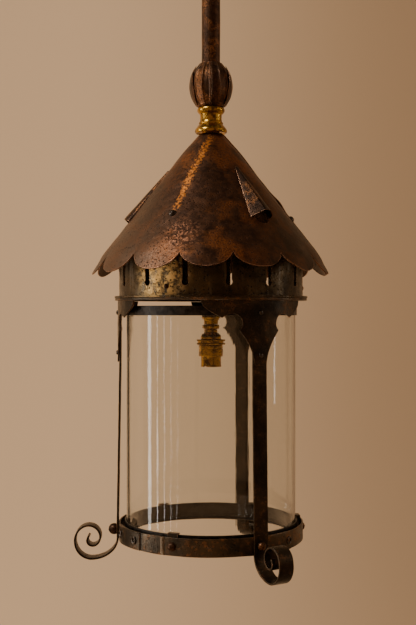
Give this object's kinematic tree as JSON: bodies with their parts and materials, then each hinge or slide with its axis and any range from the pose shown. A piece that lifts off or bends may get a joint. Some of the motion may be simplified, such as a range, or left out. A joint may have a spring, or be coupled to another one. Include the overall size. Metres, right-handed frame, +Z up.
{
  "type": "hanging lantern",
  "caption": "Hanging lantern: scalloped conical copper roof over a pierced gallery, glass cylinder in a riveted strap frame with scroll feet, bayonet lampholder, on a jointed rod.",
  "frame": {"origin": "middle of the ceiling plate's top face, on the lantern's axis", "axes": "+Z up along the rod, -Y the side that the picture shows"},
  "size_m": [0.3418, 0.3407, 0.833],
  "materials": {
    "aged_copper": "brown patinated copper with orange wear",
    "dark_bronze": "dark brown bronze, lightly worn at the edges",
    "gallery_bronze": "brassy bronze, mottled",
    "brass": "lacquered brass",
    "black_steel": "blackened steel",
    "clear_glass": "clear blown glass",
    "insulator": "cream moulding"
  },
  "bodies": {
    "ceiling": {"ceiling_plate": "dark_bronze", "ceiling_fork": "dark_bronze"},
    "gimbal": {"gimbal_cross": "black_steel"},
    "lantern": {"rod_fork": "dark_bronze", "suspension_rod": "aged_copper", "knop_half_right": "aged_copper", "knop_half_left": "aged_copper", "bud_leaf_left": "aged_copper", "bud_leaf_right": "aged_copper", "collar": "brass", "stem": "brass", "roof": "aged_copper", "roof_vent_1": "aged_copper", "roof_vent_2": "aged_copper", "roof_vent_3": "aged_copper", "roof_rivet_1": "aged_copper", "roof_rivet_2": "aged_copper", "roof_rivet_3": "aged_copper", "roof_tab_1": "dark_bronze", "roof_tab_2": "dark_bronze", "roof_tab_3": "dark_bronze", "gallery": "gallery_bronze", "gallery_rivet_1": "gallery_bronze", "gallery_rivet_2": "gallery_bronze", "gallery_rivet_3": "gallery_bronze", "frame_flange": "dark_bronze", "bracket_1": "dark_bronze", "bracket_2": "dark_bronze", "bracket_3": "dark_bronze", "bracket_rivet_top_1": "dark_bronze", "bracket_rivet_top_2": "dark_bronze", "bracket_rivet_top_3": "dark_bronze", "bracket_rivet_low_1": "dark_bronze", "bracket_rivet_low_2": "dark_bronze", "bracket_rivet_low_3": "dark_bronze", "leg_1": "dark_bronze", "leg_2": "dark_bronze", "leg_3": "dark_bronze", "leg_rivet_1": "aged_copper", "leg_rivet_2": "aged_copper", "leg_rivet_3": "aged_copper", "lower_band": "dark_bronze", "glass_clip_1": "dark_bronze", "glass_clip_2": "dark_bronze", "glass_clip_3": "dark_bronze", "clip_rivet_1": "aged_copper", "clip_rivet_2": "aged_copper", "clip_rivet_3": "aged_copper", "glass_cylinder": "clear_glass", "glass_top_ring": "black_steel", "glass_seat_ring": "black_steel", "holder_entry_nut": "brass", "holder_lock_nut": "brass", "holder_cap": "brass", "holder_body": "brass", "holder_skirt": "brass", "holder_core": "insulator"},
    "shade_ring": {"shade_ring": "brass"},
    "plunger_left": {"plunger_left": "brass"},
    "plunger_right": {"plunger_right": "brass"}
  },
  "joints": [
    {"name": "sway_front_back", "type": "hinge", "parent": "ceiling", "child": "gimbal", "pos_m": [0, 0, -0.03], "axis": [1, 0, 0], "range_deg": [-20, 20]},
    {"name": "sway_side", "type": "hinge", "parent": "gimbal", "child": "lantern", "pos_m": [0, 0, -0.03], "axis": [0, 1, 0], "range_deg": [-20, 20]},
    {"name": "shade_ring_turn", "type": "hinge", "parent": "lantern", "child": "shade_ring", "pos_m": [0, 0, -0.54], "axis": [0, 0, 1], "continuous": true},
    {"name": "plunger_left_press", "type": "slide", "parent": "lantern", "child": "plunger_left", "axis": [0, 0, 1], "range_m": [0, 0.003], "stiffness_N_per_m": 800, "springref_m": -0.002},
    {"name": "plunger_right_press", "type": "slide", "parent": "lantern", "child": "plunger_right", "axis": [0, 0, 1], "range_m": [0, 0.003], "stiffness_N_per_m": 800, "springref_m": -0.002}
  ]
}
